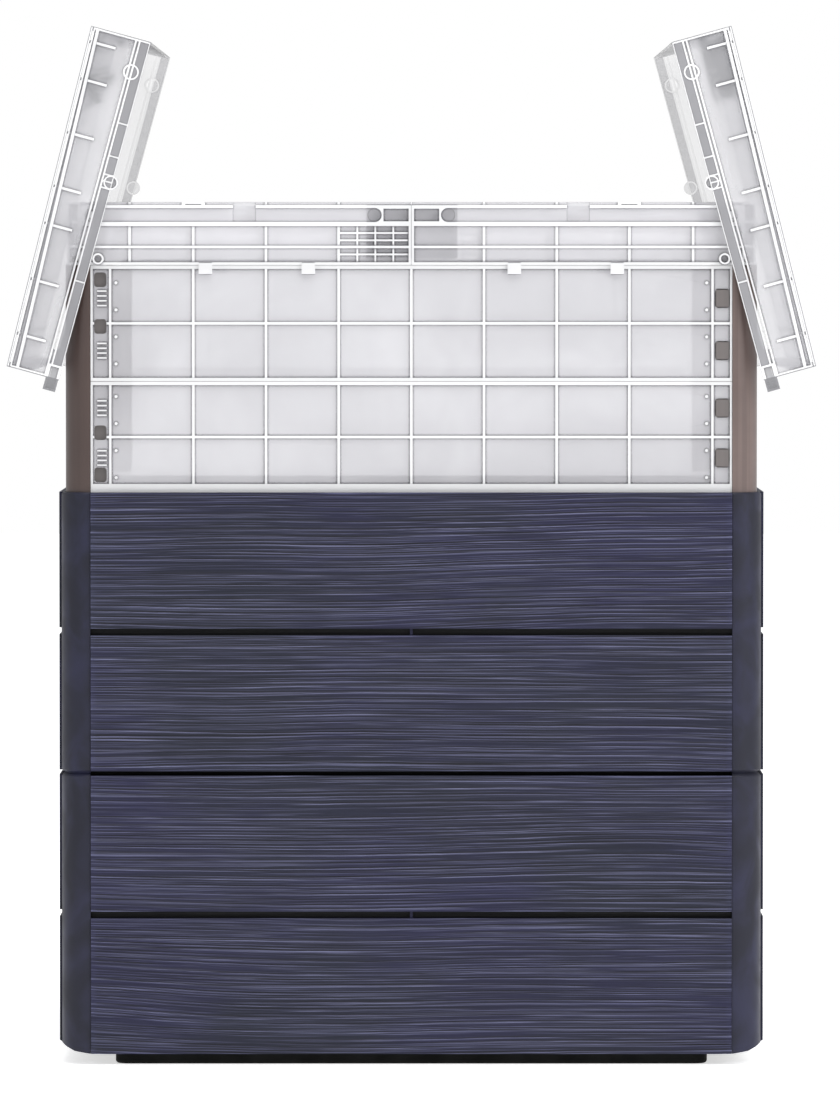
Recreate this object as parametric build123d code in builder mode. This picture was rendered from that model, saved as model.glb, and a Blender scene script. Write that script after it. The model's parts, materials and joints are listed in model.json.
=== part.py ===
from build123d import *
import os
from math import cos, radians, sin

# A square raised bed of two plank-look tiers with a clear cold frame on top, whose two lids stand open.
# Millimetres, +Z up, X to the right, Y away from the front. The origin is the centre of the underside.
# Every side is drawn through two planes, so that one function makes it at 0, 90, 180 or 270 degrees:
# "elevation" looks at the side from outside, and "section" cuts across it, with local x going inward.

# ---- Driving dimensions: bed ----
BED_HALF = 314.0  # from the centre to the planks' faces
BED_FOOT = 10.0  # height of the tray's rim, which lifts the bed off the ground
PLANK_HEIGHT = 121.0
PLANK_GAP = 6.0
TIER_GAP = 4.0
CORNER_WIDTH = 28.5  # from the planks' faces to the corner piece's inner end
CORNER_SET = 2.0  # the corner pieces stand this far behind the planks' faces
CORNER_RADIUS = 26.0
WALL_DEPTH = 24.0
SKIN = 3.5
SEAM = 0.3

# ---- Driving dimensions: clear frame ----
FRAME_HALF = 308.0  # from the centre to the outer faces of posts and top frame
POST_TOP = 712.0
FRAME_TOP = 768.0
POST_WALL = 3.0
PANEL_SET = 1.0  # the clear panels' outermost ribs stand this far behind the posts' faces
RIB_PITCH = 64.6
RIB = 2.2

# ---- Driving dimensions: lids ----
PIN_X = 283.4  # the pins' place at the outer end of the guide groove
PIN_Z = 756.5
LEAN = 15.3  # degrees from upright of the open lid's skirt
ROOF_SLOPE = 0.0218  # rise of the roof towards the lid's middle end, against the skirt's edge
TRAVEL = 120.8  # how far a lid slides on its pins
PIN_TO_MIDDLE = 161.6  # from the pins to the lid's middle end, along the open lid
PIN_TO_OUTER = 149.5
SKIRT_DROP = 10.0  # from the pins to the skirt's edge
ROOF_RISE = 41.2  # from the pins straight up to the top of the roof's ribs
LID_WALL_IN = 309.6  # inner face of the lid's end walls
LID_WALL = 2.0
LID_HALF = 313.8  # outermost ribs of the lid's end walls

# ---- Worked out ----
TIER_HEIGHT = 2 * PLANK_HEIGHT + PLANK_GAP
TIER_PITCH = TIER_HEIGHT + TIER_GAP
BED_TOP = BED_FOOT + TIER_PITCH + TIER_HEIGHT
TIER_JOINT = BED_FOOT + TIER_HEIGHT + TIER_GAP / 2
CORNER_HALF = BED_HALF - CORNER_SET
CORNER_END = BED_HALF - CORNER_WIDTH
PANEL_HALF = CORNER_END - SEAM
PLUG_AT = 297.0  # centre of the corner plugs, on both axes
PLUG_RADIUS = 6.0
SIDES = {"front": 0, "right": 90, "back": 180, "left": 270}
CORNERS = {"front_left": 0, "front_right": 90, "back_right": 180, "back_left": 270}

os.makedirs("parts", exist_ok=True)


def save(builder, name):
    """Labels a finished piece and writes its STEP file."""
    builder.part.label = name
    export_step(builder.part, f"parts/{name}.step")


def turned(angle, x, y, z):
    """A vector turned about Z."""
    return Vector(x, y, z).rotate(Axis.Z, angle)


def elevation(angle, out, height=0.0):
    """The plane of a side seen from outside: local x along it, local y up, normal outward."""
    return Plane(turned(angle, 0, -out, height), x_dir=turned(angle, 1, 0, 0), z_dir=turned(angle, 0, -1, 0))


def section(angle, out, height=0.0, along=0.0):
    """The plane across a side: local x inward, local y up, normal along the side."""
    return Plane(turned(angle, along, -out, height), x_dir=turned(angle, 0, 1, 0), z_dir=turned(angle, 1, 0, 0))


def plate(plane, x_low, x_high, y_low, y_high, thick, mode=Mode.ADD):
    """Adds a rectangular plate in the current part, from its plane outward by thick."""
    with BuildSketch(plane) as outline:
        with Locations(((x_low + x_high) / 2, (y_low + y_high) / 2)):
            Rectangle(x_high - x_low, y_high - y_low)
    extrude(outline.sketch, amount=thick, mode=mode)


# The left and right sides of the lower tier slope up at the foot: distance from the middle, and height.
FOOT_SLOPE = ((286.0, BED_FOOT), (300.0, 12.2), (307.0, 15.5), (312.0, 18.9), (330.0, 31.1))


def cut_foot_slope():
    """Cuts everything below the sloped foot of the left and right sides from the current part."""
    for end in (-1, 1):
        outline = [(end * x, z) for x, z in FOOT_SLOPE]
        outline += [(end * FOOT_SLOPE[-1][0], 0), (end * FOOT_SLOPE[0][0], 0)]
        with BuildSketch(Plane.XZ) as wedge:
            Polygon(*outline, align=None)
        extrude(wedge.sketch, amount=FOOT_SLOPE[-1][0], both=True, mode=Mode.SUBTRACT)


# ---- Base tray ----
TRAY_HALF_X = 264.0
TRAY_HALF_Y = 300.0  # the rim is close behind the front planks, where it shows as a black strip
TRAY_RIM = 4.0
DECK_LOW = BED_FOOT - 0.5
DECK_TOP = BED_FOOT + 3.0
DECK_HALF = BED_HALF - SKIN - 0.5
DECK_HALF_X = 296.0  # the deck stops short of the side walls' sloped foot
with BuildPart() as base_tray:
    with BuildSketch(Plane.XY):
        RectangleRounded(2 * TRAY_HALF_X, 2 * TRAY_HALF_Y, 12)
    extrude(amount=DECK_LOW)
    fillet(base_tray.faces().sort_by(Axis.Z)[0].edges(), 3)
    with BuildSketch(Plane.XY):
        RectangleRounded(2 * (TRAY_HALF_X - TRAY_RIM), 2 * (TRAY_HALF_Y - TRAY_RIM), 8)
        with GridLocations(176, 0, 2, 1):
            Rectangle(TRAY_RIM, 2 * TRAY_HALF_Y, mode=Mode.SUBTRACT)
        with GridLocations(0, 176, 1, 2):
            Rectangle(2 * TRAY_HALF_X, TRAY_RIM, mode=Mode.SUBTRACT)
    extrude(amount=DECK_LOW, mode=Mode.SUBTRACT)
    with BuildSketch(Plane.XY.offset(DECK_LOW)):
        RectangleRounded(2 * DECK_HALF_X, 2 * DECK_HALF, CORNER_RADIUS)
        with GridLocations(88, 62, 6, 8):
            SlotOverall(44, 6, mode=Mode.SUBTRACT)
        with GridLocations(2 * PLUG_AT, 2 * PLUG_AT, 2, 2):
            Rectangle(40, 40, mode=Mode.SUBTRACT)
    extrude(amount=DECK_TOP - DECK_LOW)
save(base_tray, "base_tray")


# ---- Bed walls: two planks on one ribbed shell ----
WALL_HALF = CORNER_END - SEAM
RIB_COUNT = 7
GROOVE_DEPTH = 9.0
LIP_HEIGHT = 14.0
LEDGE = 20.0
TONGUE_DEPTH = 17.0  # middle of the corner tongues behind the planks' faces
TONGUE = 4.0
TONGUE_REACH = 8.0
TONGUE_LOW = 18.0
TONGUE_HIGH = TIER_HEIGHT - 18.0
BRIDGE = 2.5


def wall_outline(is_lower, has_slope):
    """The shell's cross-section, clockwise from the bottom outer edge, for the current line."""
    plank_2 = PLANK_HEIGHT + PLANK_GAP
    top = TIER_HEIGHT
    inner = WALL_DEPTH + 0.3
    foot = [(0, 0), (WALL_DEPTH, 0), (WALL_DEPTH, SKIN), (SKIN, SKIN)]
    head = [(SKIN, top - SKIN), (WALL_DEPTH, top - SKIN), (WALL_DEPTH, top), (0, top)]
    if is_lower:
        # the foot is a ledge on the tray's deck, and the head has a lip behind the upper tier's foot
        low, high = DECK_TOP - BED_FOOT, DECK_TOP - BED_FOOT + SKIN
        reach, lip_top = WALL_DEPTH + LEDGE, top + LIP_HEIGHT
        foot = [(0, 0), (SKIN, 0), (SKIN, low), (reach, low), (reach, high), (SKIN, high)]
        if has_slope:
            foot = [(0, 2), (9, 2), (12, low), (reach, low), (reach, high), (12, high), (SKIN, 12)]
        lip = [(inner + 3, top - SKIN), (inner + 3, lip_top), (inner, lip_top), (inner, top)]
        head = [(SKIN, top - SKIN)] + lip + [(0, top)]
    back = GROOVE_DEPTH + SKIN
    below, above = PLANK_HEIGHT - SKIN, plank_2 + SKIN
    channel = [(SKIN, below), (back, below), (back, above), (SKIN, above)]
    groove = [(0, plank_2), (GROOVE_DEPTH, plank_2), (GROOVE_DEPTH, PLANK_HEIGHT), (0, PLANK_HEIGHT)]
    Polyline(foot + channel + head + groove, close=True)


def bed_wall(angle, low, is_lower, name):
    """One wall of a tier, made at its place."""
    has_slope = is_lower and angle in (90, 270)
    with BuildPart() as wall:
        with BuildSketch(section(angle, BED_HALF, low)) as profile:
            with BuildLine():
                wall_outline(is_lower, has_slope)
            make_face()
            faces_out = [v for v in profile.vertices() if abs(profile_depth(angle, v)) < 0.01]
            fillet(faces_out, 2.5)
        extrude(amount=WALL_HALF, both=True)
        # upright stiffening ribs, open to the inside of the bed
        with BuildSketch(elevation(angle, BED_HALF - WALL_DEPTH, low)):
            with Locations((0, TIER_HEIGHT / 2)):
                with GridLocations((2 * WALL_HALF - 3) / (RIB_COUNT - 1), 0, RIB_COUNT, 1):
                    Rectangle(3, TIER_HEIGHT - 3 * SKIN)
        extrude(amount=WALL_DEPTH - SKIN / 2)
        plate(
            elevation(angle, BED_HALF - GROOVE_DEPTH, low + PLANK_HEIGHT),
            -WALL_HALF, WALL_HALF, 0, PLANK_GAP, GROOVE_DEPTH, mode=Mode.SUBTRACT,
        )
        plate(
            elevation(angle, BED_HALF - GROOVE_DEPTH - 1, low + PLANK_HEIGHT),
            -BRIDGE / 2, BRIDGE / 2, -1, PLANK_GAP + 1, GROOVE_DEPTH - 2,
        )
        # slots in the end ribs for the corner pieces' tongues, and ledges that stop short of each other
        for end in (-1, 1):
            ledge_end = sorted((end * (BED_HALF - WALL_DEPTH - LEDGE - 1), end * BED_HALF))
            plate(
                elevation(angle, BED_HALF - WALL_DEPTH - LEDGE - 1, low),
                *ledge_end, 0, 2 * SKIN, LEDGE + 1, mode=Mode.SUBTRACT,
            )
            with BuildSketch(section(angle, BED_HALF - TONGUE_DEPTH, low, end * WALL_HALF)):
                with Locations((0, (TONGUE_LOW + TONGUE_HIGH) / 2)):
                    Rectangle(TONGUE + 0.6, TONGUE_HIGH - TONGUE_LOW + 0.6)
            extrude(amount=4, both=True, mode=Mode.SUBTRACT)
        if has_slope:
            cut_foot_slope()
    save(wall, name)


def profile_depth(angle, vertex):
    """How far a point stands behind the planks' face on the side at angle."""
    point = Vector(vertex.X, vertex.Y, vertex.Z).rotate(Axis.Z, -angle)
    return point.Y + BED_HALF


for side, angle in SIDES.items():
    bed_wall(angle, BED_FOOT, True, f"lower_wall_{side}")
    bed_wall(angle, BED_FOOT + TIER_PITCH, False, f"upper_wall_{side}")


# ---- Bed corners: hollow uprights with tongues into the walls ----
END_PLATE = 5.0
JOINT_CHAMFER = 3.0
TOP_CHAMFER = 1.5
FOOT_PLATE = 13.0  # thick enough for the sloped foot


def corner_square(angle, half, end, radius, inset=0.0):
    """A square with one round corner, in the plan sketch that is open: the corner column's outline."""
    side = half - end - 2 * inset
    middle = turned(angle, -(half + end) / 2, -(half + end) / 2, 0)
    with Locations((middle.X, middle.Y)):
        Rectangle(side, side)
    return turned(angle, -(half - inset), -(half - inset), 0), min(radius - inset, side - 0.5)


def round_outer(sketch, tip, radius):
    """Rounds the sketch's vertex that lies at tip."""
    fillet([v for v in sketch.vertices() if (Vector(v.X, v.Y, 0) - tip).length < 0.01], radius)


def bed_corner(angle, low, high, joint_z, name):
    """One corner piece of a tier, its outer edges sloped at the joint between the tiers and at the top."""
    is_lower = high == joint_z
    bottom_plate = FOOT_PLATE if is_lower else END_PLATE
    with BuildPart() as corner:
        with BuildSketch(Plane.XY.offset(low)) as outline:
            round_outer(outline, *corner_square(angle, CORNER_HALF, CORNER_END, CORNER_RADIUS))
        extrude(amount=high - low)
        chamfer(outer_edges(corner, angle, joint_z), JOINT_CHAMFER)
        if is_lower:
            cut_foot_slope()
        else:
            chamfer(outer_edges(corner, angle, high), TOP_CHAMFER)
        with BuildSketch(Plane.XY.offset(low + bottom_plate)) as hollow:
            round_outer(hollow, *corner_square(angle, CORNER_HALF, CORNER_END, CORNER_RADIUS, SKIN))
        extrude(amount=high - low - bottom_plate - END_PLATE, mode=Mode.SUBTRACT)
        plug = turned(angle, -PLUG_AT, -PLUG_AT, 0)
        with BuildSketch(Plane.XY.offset(low)):
            with Locations((plug.X, plug.Y)):
                Circle(PLUG_RADIUS + 0.1)
        extrude(amount=high - low, mode=Mode.SUBTRACT)
        for turn, end in ((angle, -1), (angle + 270, 1)):
            tongue_x = sorted((end * CORNER_END, end * (CORNER_END - TONGUE_REACH)))
            plate(
                elevation(turn, BED_HALF - TONGUE_DEPTH - TONGUE / 2, wall_low(low)),
                *tongue_x, TONGUE_LOW, TONGUE_HIGH, TONGUE,
            )
    save(corner, name)


def outer_edges(corner, angle, height):
    """The edges of a corner piece that bound its outer faces at a height."""
    level = [e for e in corner.edges() if abs(e.center().Z - height) < 0.01]
    return [e for e in level if corner_reach(angle, e.center()) > CORNER_END + 0.1]


def corner_reach(angle, point):
    """How far out a point of a corner piece lies along the lesser of its two directions."""
    back = Vector(point.X, point.Y, 0).rotate(Axis.Z, -angle)
    return min(-back.X, -back.Y)


def wall_low(corner_low):
    """The bottom of the walls beside a corner piece."""
    return BED_FOOT if corner_low < TIER_JOINT else BED_FOOT + TIER_PITCH


for place, angle in CORNERS.items():
    bed_corner(angle, BED_FOOT, TIER_JOINT, TIER_JOINT, f"lower_corner_{place}")
    bed_corner(angle, TIER_JOINT, BED_TOP, TIER_JOINT, f"upper_corner_{place}")

with BuildPart() as tier_plugs:
    with BuildSketch(Plane.XY.offset(TIER_JOINT - 25)):
        with GridLocations(2 * PLUG_AT, 2 * PLUG_AT, 2, 2):
            Circle(PLUG_RADIUS)
    extrude(amount=50)
    chamfer(tier_plugs.edges().filter_by(GeomType.CIRCLE), 1)
save(tier_plugs, "tier_plugs")


# ---- Brown corner posts of the clear frame ----
POST_RADIUS = 22.0
SPIGOT = 22.0
HOOK_X = (270.8, 282.2)  # the hooks' span along a side, inside the panels' finger windows
HOOK_Z = (540.6, 585.0, 636.0, 682.5)
HOOK_OUT = 306.2
FLANGE_IN = 299.0
FLANGE_OUT = 301.6
RAIL_PIN_RADIUS = 3.0
RAIL_PIN_AT = 299.2  # centre of the posts' upper pins, on both axes


def frame_post(angle, name):
    """One hollow post with two flanges behind the panels' edges and a spigot into the bed's corner."""
    with BuildPart() as post:
        with BuildSketch(Plane.XY.offset(BED_TOP)) as outline:
            round_outer(outline, *corner_square(angle, FRAME_HALF, CORNER_END, POST_RADIUS))
        extrude(amount=POST_TOP - BED_TOP)
        with BuildSketch(Plane.XY.offset(BED_TOP + POST_WALL)) as hollow:
            round_outer(hollow, *corner_square(angle, FRAME_HALF, CORNER_END, POST_RADIUS, POST_WALL))
        extrude(amount=POST_TOP - BED_TOP - 2 * POST_WALL, mode=Mode.SUBTRACT)
        plug = turned(angle, -PLUG_AT, -PLUG_AT, 0)
        with BuildSketch(Plane.XY.offset(BED_TOP - SPIGOT)):
            with Locations((plug.X, plug.Y)):
                Circle(PLUG_RADIUS)
        extrude(amount=SPIGOT + POST_WALL)
        pin = turned(angle, -RAIL_PIN_AT, -RAIL_PIN_AT, 0)
        with BuildSketch(Plane.XY.offset(POST_TOP - POST_WALL)):
            with Locations((pin.X, pin.Y)):
                Circle(RAIL_PIN_RADIUS)
        extrude(amount=POST_WALL + 8)
        for turn, end in ((angle, -1), (angle + 270, 1)):
            flange_x = sorted((end * (CORNER_END + 1), end * 268.0))
            plate(elevation(turn, FLANGE_IN), *flange_x, BED_TOP + 4, POST_TOP - 4, FLANGE_OUT - FLANGE_IN)
        # hooks, on the flange that is behind the next panel's right edge
        for z in HOOK_Z:
            plate(elevation(angle + 270, FLANGE_OUT), *HOOK_X, z - 7.6, z + 7.6, HOOK_OUT - FLANGE_OUT)
    save(post, name)


for place, angle in CORNERS.items():
    frame_post(angle, f"post_{place}")


# ---- Clear side panels ----
PANEL_OUT = FRAME_HALF - PANEL_SET
SHEET_OUT = PANEL_OUT - 2.2
SHEET = 2.0
PANEL_SPLIT = 608.6
EDGE_STRIP = 266.5  # the deep rims stop here, short of the posts' flanges
WINDOW = (13.0, 17.0)
WINDOW_X = 276.5
LEFT_WINDOW = (11.0, 13.0)
LEFT_WINDOW_Z = (525.5, 563.0, 657.5, 699.0)
COMB_X = (270.8, 279.4)
COMB_PITCH = 4.3  # between the comb's teeth
LIP_IN = {"front": 297.0, "back": 297.0, "left": 291.4, "right": 291.4}
LIP_THICK = 2.4


def clear_panel(angle, low, high, name, bottom_rim, lip_in):
    """A clear sheet with ribs, finger windows along both upright edges and a lip along its top."""
    top_rim = 3.0
    with BuildPart() as panel:
        plate(elevation(angle, SHEET_OUT - SHEET), -PANEL_HALF, PANEL_HALF, low, high, SHEET)
        # rims: deep between the edge strips, and shallow over the whole width
        for rim_low, rim_high in ((low, low + bottom_rim), (high - top_rim, high)):
            plate(elevation(angle, SHEET_OUT - SHEET), -PANEL_HALF, PANEL_HALF, rim_low, rim_high, 4.2)
        for rim_low, rim_high, inner in ((low, low + 2.4, 300.2), (high - 2.4, high, lip_in)):
            plate(elevation(angle, inner), -EDGE_STRIP, EDGE_STRIP, rim_low, rim_high, PANEL_OUT - inner)
        plate(elevation(angle, lip_in), -EDGE_STRIP + 8, EDGE_STRIP - 8, high - 2.4, high + 5, LIP_THICK)
        # the grid of ribs
        middle = (low + high) / 2
        cross_rib = (middle - RIB / 2, middle + RIB / 2)
        plate(elevation(angle, SHEET_OUT - 1), -PANEL_HALF, PANEL_HALF, *cross_rib, 3.0)
        with BuildSketch(elevation(angle, SHEET_OUT - 1, middle)):
            with GridLocations(RIB_PITCH, 0, 7, 1):
                Rectangle(RIB, high - low)
            with GridLocations(2 * (EDGE_STRIP + 1.2), 0, 2, 1):
                Rectangle(RIB, high - low)
        extrude(amount=3.0)
        # upright outer edges, with small snap bumps
        for end in (-1, 1):
            edge = sorted((end * PANEL_HALF, end * (PANEL_HALF - 2)))
            plate(elevation(angle, SHEET_OUT - 1), *edge, low, high, 3.2)
        # windows for the hooks along the right edge, and smaller ones between combs along the left edge
        with BuildSketch(elevation(angle, SHEET_OUT - 6)):
            for x, size, heights in ((WINDOW_X, WINDOW, HOOK_Z), (-WINDOW_X, LEFT_WINDOW, LEFT_WINDOW_Z)):
                for z in heights:
                    if low < z < high:
                        with Locations((x, z)):
                            RectangleRounded(*size, 3)
        extrude(amount=10, mode=Mode.SUBTRACT)
        for z in HOOK_Z:
            if low < z < high:
                for step in (-1.5, -0.5, 0.5, 1.5):
                    tooth = z + step * COMB_PITCH
                    tooth_box = (-COMB_X[1], -COMB_X[0], tooth - 0.7, tooth + 0.7)
                    plate(elevation(angle, SHEET_OUT - 1), *tooth_box, 3.0)
        with BuildSketch(elevation(angle, SHEET_OUT - 1, middle)):
            for z in (middle - 36, middle - 12, middle + 12, middle + 36):
                with Locations((0, z - middle)):
                    with GridLocations(2 * (EDGE_STRIP - 4), 0, 2, 1):
                        Circle(1.4)
        extrude(amount=3.0)
    save(panel, name)


for side, angle in SIDES.items():
    clear_panel(angle, BED_TOP, PANEL_SPLIT - 0.2, f"lower_panel_{side}", 7.5, LIP_IN[side])
    clear_panel(angle, PANEL_SPLIT + 0.2, POST_TOP - 0.3, f"upper_panel_{side}", 3.0, LIP_IN[side])


# ---- Top frame: front and back rails in halves ----
RAIL_END = 293.7
RAIL_SPLIT = 0.2
GROOVE_HALF = 6.25
GROOVE_LOW = PIN_Z - GROOVE_HALF
GROOVE_HIGH = PIN_Z + GROOVE_HALF
GROOVE_INNER = 32.6  # centre of the groove's round inner end
GROOVE_OUTER = PIN_X + 0.6
RAIL_BACK = 300.0
RAIL_SHEET = 2.5
NOTCH = (138.2, 158.6)
CATCH = (183.5, 204.0)
RAIL_RIBS = (RIB_PITCH, 2 * RIB_PITCH, 3 * RIB_PITCH, 250.4)
FLANGE_BANDS = ((712.0, 714.5), (727.0, 729.2), (746.7, GROOVE_LOW), (GROOVE_HIGH, 765.2))
STOP_BOSS = (278.3, 717.6)  # the open lid's edge leans on it
STOP_RADIUS = 5.0
STOP_OUT = 312.6


def half_rail(angle, end, name, has_grid):
    """Half of a front or back rail. end is -1 for the half on local -x and 1 for the other."""

    def span(x_near, x_far):
        return sorted((end * x_near, end * x_far))

    with BuildPart() as rail:
        sheet = elevation(angle, RAIL_BACK)
        face = elevation(angle, RAIL_BACK + RAIL_SHEET - 0.5)
        proud = FRAME_HALF - RAIL_BACK - RAIL_SHEET + 0.5
        plate(sheet, *span(RAIL_SPLIT, RAIL_END), POST_TOP, FRAME_TOP, RAIL_SHEET)
        for low, high in FLANGE_BANDS:
            plate(face, *span(RAIL_SPLIT, RAIL_END), low, high, proud)
        for x in RAIL_RIBS:
            plate(face, *span(x - RIB / 2, x + RIB / 2), POST_TOP, GROOVE_LOW - 1, proud - 1.5)
            plate(face, *span(x - RIB / 2, x + RIB / 2), GROOVE_HIGH + 1, FRAME_TOP, proud - 2)
        # solid ends of the guide groove, hollowed to its round ends
        plate(face, *span(RAIL_SPLIT, GROOVE_INNER), GROOVE_LOW - 1, GROOVE_HIGH + 1, proud)
        plate(face, *span(GROOVE_OUTER, RAIL_END), GROOVE_LOW - 1, GROOVE_HIGH + 1, proud)
        with BuildSketch(face):
            with Locations((end * GROOVE_INNER, PIN_Z), (end * GROOVE_OUTER, PIN_Z)):
                Circle(GROOVE_HALF)
        extrude(amount=proud + 1, mode=Mode.SUBTRACT)
        pocket = span(RAIL_SPLIT + 2.2, GROOVE_INNER - GROOVE_HALF - 1.6)
        plate(face, *pocket, GROOVE_LOW + 0.6, GROOVE_HIGH - 0.6, proud + 1, mode=Mode.SUBTRACT)
        plate(face, *span(*NOTCH), GROOVE_LOW, FRAME_TOP + 1, proud + 1, mode=Mode.SUBTRACT)
        plate(face, *span(*CATCH), GROOVE_HIGH + 1, FRAME_TOP, proud)
        catch_hollow = span(CATCH[0] + 3, CATCH[1] - 3)
        plate(face, *catch_hollow, GROOVE_HIGH + 2.6, FRAME_TOP - 1.6, proud, mode=Mode.SUBTRACT)
        plate(face, *span(RAIL_SPLIT, RAIL_SPLIT + 2.2), POST_TOP, GROOVE_LOW, proud)
        with BuildSketch(elevation(angle, RAIL_BACK + 1)):
            with Locations((end * STOP_BOSS[0], STOP_BOSS[1])):
                Circle(STOP_RADIUS)
                Circle(STOP_RADIUS - 1.6, mode=Mode.SUBTRACT)
        extrude(amount=STOP_OUT - RAIL_BACK - 1)
        if has_grid:
            for x in (16, 32, 48):
                plate(face, *span(x - 0.8, x + 0.8), POST_TOP, GROOVE_LOW - 1, proud - 1.5)
            for z in (721.5, 734.0, 740.5):
                plate(face, *span(RAIL_SPLIT, RIB_PITCH), z - 0.8, z + 0.8, proud - 1.5)
    save(rail, name)


half_rail(0, -1, "top_rail_front_left", True)
half_rail(0, 1, "top_rail_front_right", False)
half_rail(180, -1, "top_rail_back_right", True)
half_rail(180, 1, "top_rail_back_left", False)


# ---- Top frame: side rails, hollow in three cells that run from front to back ----
CELL_BANDS = ((712.0, 714.4), (727.6, 730.0), (749.2, 751.6), (765.8, FRAME_TOP))


def side_rail(angle, name):
    """A side rail over the whole depth, its outer web ribbed like the panels."""
    with BuildPart() as rail:
        outer_web = elevation(angle, FRAME_HALF - 4)
        inner_web = elevation(angle, FRAME_HALF - 14)
        for web in (outer_web, inner_web):
            plate(web, -FRAME_HALF, FRAME_HALF, POST_TOP, FRAME_TOP, 2.0)
        for low, high in CELL_BANDS:
            plate(inner_web, -FRAME_HALF, FRAME_HALF, low, high, 14.0)
        with BuildSketch(elevation(angle, FRAME_HALF - 3, (POST_TOP + FRAME_TOP) / 2)):
            with GridLocations(RIB_PITCH, 0, 9, 1):
                Rectangle(RIB, FRAME_TOP - POST_TOP)
        extrude(amount=2.0)
        # holes for the posts' upper pins
        with BuildSketch(Plane.XY.offset(POST_TOP - 1)):
            for end in (-1, 1):
                hole = turned(angle, end * RAIL_PIN_AT, -RAIL_PIN_AT, 0)
                with Locations((hole.X, hole.Y)):
                    Circle(RAIL_PIN_RADIUS + 0.2)
        extrude(amount=4, mode=Mode.SUBTRACT)
    save(rail, name)


side_rail(270, "top_rail_left")
side_rail(90, "top_rail_right")


# ---- Joiners where the rail halves meet, and clips that hold the panels ----
JOINER_OUT = RAIL_BACK - 0.2


def rail_joiner(angle, name):
    """A strap behind both halves with two hollow latch blocks behind the right half."""
    with BuildPart() as joiner:
        plate(elevation(angle, JOINER_OUT - 1.8), -40, 41, 718, 766, 1.8)
        for x_high, low, high in ((25.5, 742.5, 765.5), (40.0, 718.0, 740.0)):
            plate(elevation(angle, JOINER_OUT - 7), 1, x_high, low, high, 6)
            plate(elevation(angle, JOINER_OUT - 7.5), 4, x_high - 3, low + 3, high - 3, 5, mode=Mode.SUBTRACT)
            plate(elevation(angle, JOINER_OUT - 7), x_high / 2 - 1, x_high / 2 + 1, low, high, 6)
    save(joiner, name)


rail_joiner(0, "joiner_front")
rail_joiner(180, "joiner_back")

CLIP_X = (-183.0, -91.5, 91.5, 183.0)
with BuildPart() as frame_clips:
    for angle in SIDES.values():
        for x in CLIP_X:
            # a plate over the rail's foot and the panel's rim, and a tooth under the rim
            plate(elevation(angle, FRAME_HALF), x - 6, x + 6, 703.5, 714.3, 1.2)
            plate(elevation(angle, SHEET_OUT + 0.2), x - 4.5, x + 4.5, 704, 708.3, 3.1)
save(frame_clips, "frame_clips")


# ---- Lids ----
ROOF_LOW = 36.0  # underside of the roof sheet, from the pins
ROOF_SHEET = 2.2
OUTER_SKIRT = 19.0  # the outer end wall stops here, so that the lid can be lifted along itself
MIDDLE_CLEAR = 290.0  # the middle end wall is full depth only inside this, to pass the rails
MIDDLE_STEP = 14.5
END_RIBS = (148.0, 114.0, 65.0, 16.0, -18.0, -69.0, -119.0)
END_RIB_LOW = 14.0
BOSS_AT = 131.3  # from the pins to the leading boss
BOSS_RADIUS = 7.1
ARM_RADIUS = 3.3
STRIP_OUT = 313.4  # outer face of the double-skinned strip along the end wall's edge
STRIP_SKIN = 0.6
FOOT = (-160.5, -137.0, -9.4, 1.9)
FOOT_WALL = 1.8
CATCH_AT = 32.0
CATCH_RADIUS = 6.5
# the raised lines along an end wall: their span above the pins, and their slope
BROAD_SLOPE = 0.0317
BROAD_LINE = (31.7, 34.5)
LINES = (
    (39.4, ROOF_RISE, ROOF_SLOPE),
    (37.0, 38.2, ROOF_SLOPE),
    (*BROAD_LINE, BROAD_SLOPE),
    (2.0, 3.6, 0),
    (-1.4, 0.2, 0),
    (-SKIRT_DROP, 0.9 - SKIRT_DROP, 0),
)
STRIP_LOW = -SKIRT_DROP
STRIP_HIGH = -1.4
STRIP_MARKS = (85.0, 54.8, CATCH_AT + 6, CATCH_AT, CATCH_AT - 6, -60.0)
ACROSS_RIBS = 9


def lid_plane(y):
    """A plane across the lid at y, its normal to the front: the pin is the origin, local x runs to
    the middle end, and local y rises to the roof."""
    along = Vector(sin(radians(LEAN)), 0, cos(radians(LEAN)))
    return Plane((-PIN_X, y, PIN_Z), x_dir=along, z_dir=(0, -1, 0))


def lid_box(u_low, u_high, w_low, w_high, y_low, y_high, slope=0, mode=Mode.ADD):
    """A box in the lid's own directions: u along it, w towards its roof. With a slope it rises along u,
    and w_low and w_high are where it passes above the pins."""
    corners = [(u_low, w_low), (u_high, w_low), (u_high, w_high), (u_low, w_high)]
    with BuildSketch(lid_plane(y_high)) as outline:
        Polygon(*[(u, w + slope * u) for u, w in corners], align=None)
    extrude(outline.sketch, amount=y_high - y_low, mode=mode)


def end_wall_box(near, u_low, u_high, w_low, w_high, in_y, out_y, slope=0, mode=Mode.ADD):
    """A box on the front (near -1) or back (near 1) end wall, between two distances from the middle."""
    lid_box(u_low, u_high, w_low, w_high, *sorted((near * in_y, near * out_y)), slope, mode)


def end_wall_ring(near, u, w, radius, bore, in_y, out_y):
    """A disc on the front or back end wall, or a ring when it has a bore."""
    y_low, y_high = sorted((near * in_y, near * out_y))
    with BuildSketch(lid_plane(y_high)) as outline:
        with Locations((u, w)):
            Circle(radius)
            if bore:
                Circle(bore, mode=Mode.SUBTRACT)
    extrude(outline.sketch, amount=y_high - y_low)


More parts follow.
